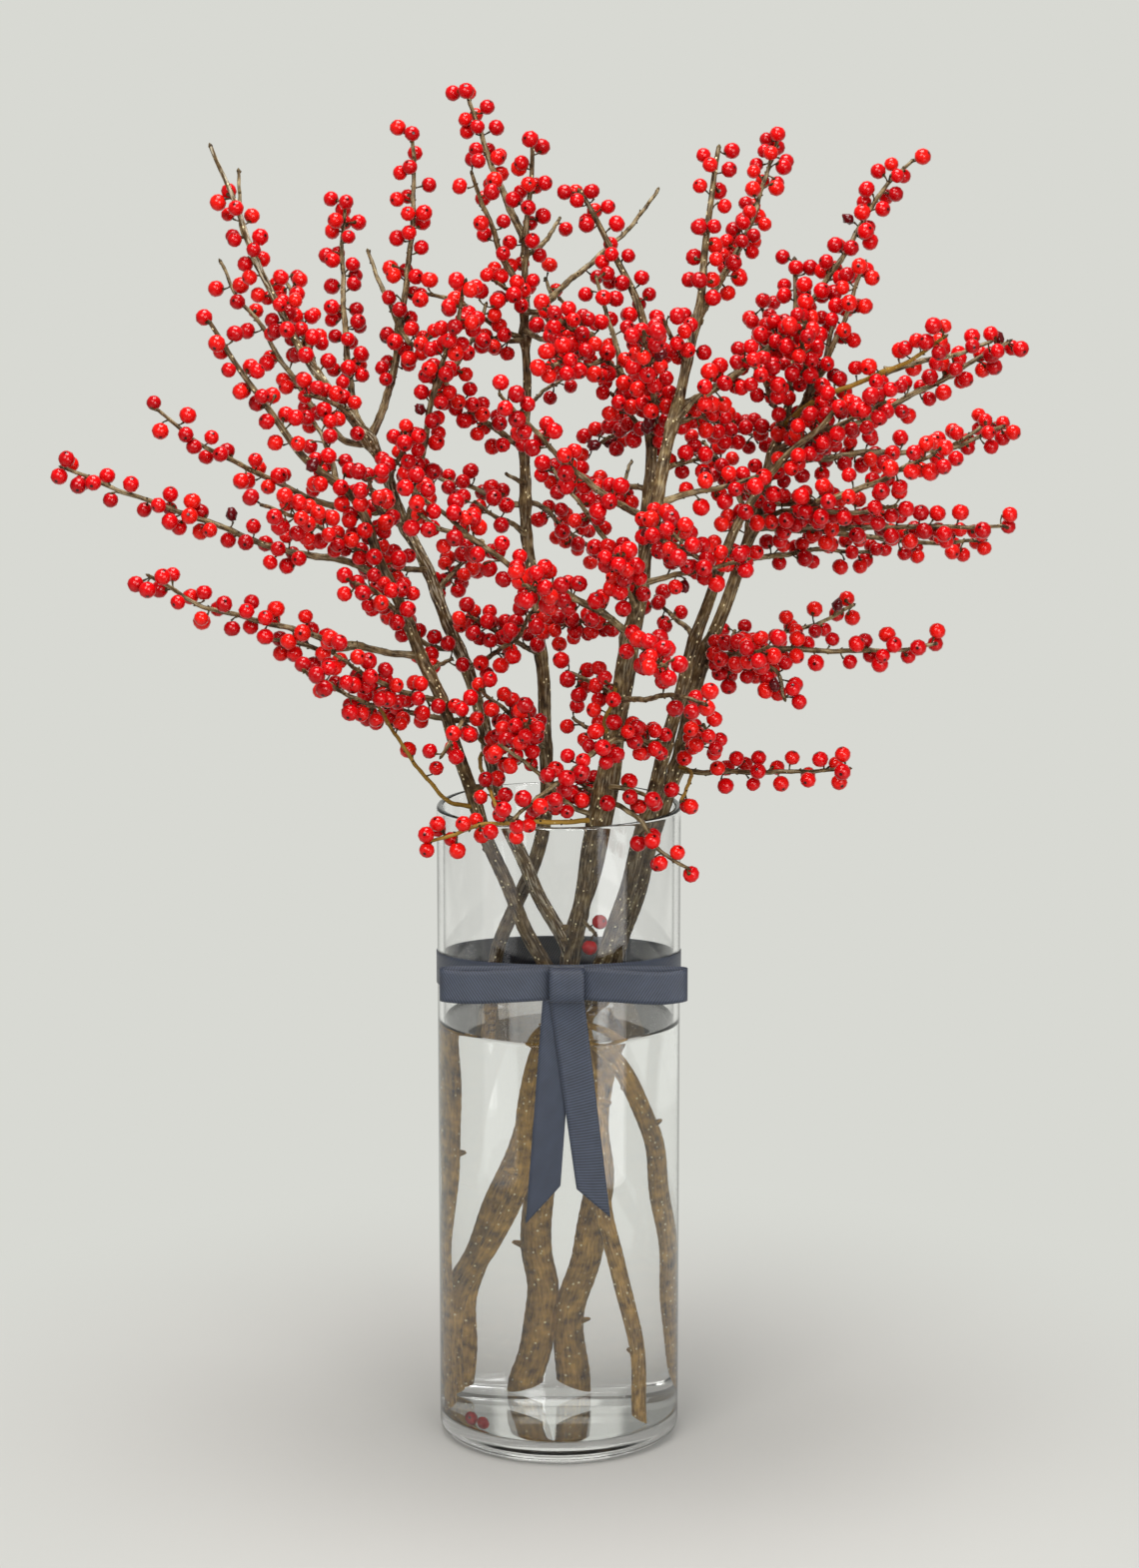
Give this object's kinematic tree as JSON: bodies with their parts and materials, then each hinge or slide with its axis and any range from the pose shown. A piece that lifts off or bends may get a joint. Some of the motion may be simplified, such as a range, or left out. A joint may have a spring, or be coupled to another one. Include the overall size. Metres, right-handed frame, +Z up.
{
  "type": "winterberry branches in a vase",
  "caption": "Cut winterberry branches, leafless and set with round red berries, standing in water in a tall glass cylinder vase with a ribbon bow.",
  "frame": {"origin": "centre of the vase's flat underside, on the surface it stands on", "axes": "+Z up along the vase's axis, -Y towards the front, where the ribbon's bow is, +X to the right as seen from the front"},
  "size_m": [0.5707, 0.3877, 0.8377],
  "materials": {
    "glass": "clear polished glass",
    "water": "clear water",
    "ribbon": "twill weave with a satin sheen",
    "branch": "bark with glossy berries",
    "berry": "glossy skin"
  },
  "bodies": {
    "root": {"vase": "glass", "water": "water", "ribbon_band": "ribbon", "ribbon_bow": "ribbon", "branch_far_left": "branch", "branch_left": "branch", "branch_middle": "branch", "branch_right": "branch", "branch_behind": "branch", "branch_near_right": "branch", "branch_far_right": "branch", "fallen_berry": "berry"}
  },
  "joints": []
}
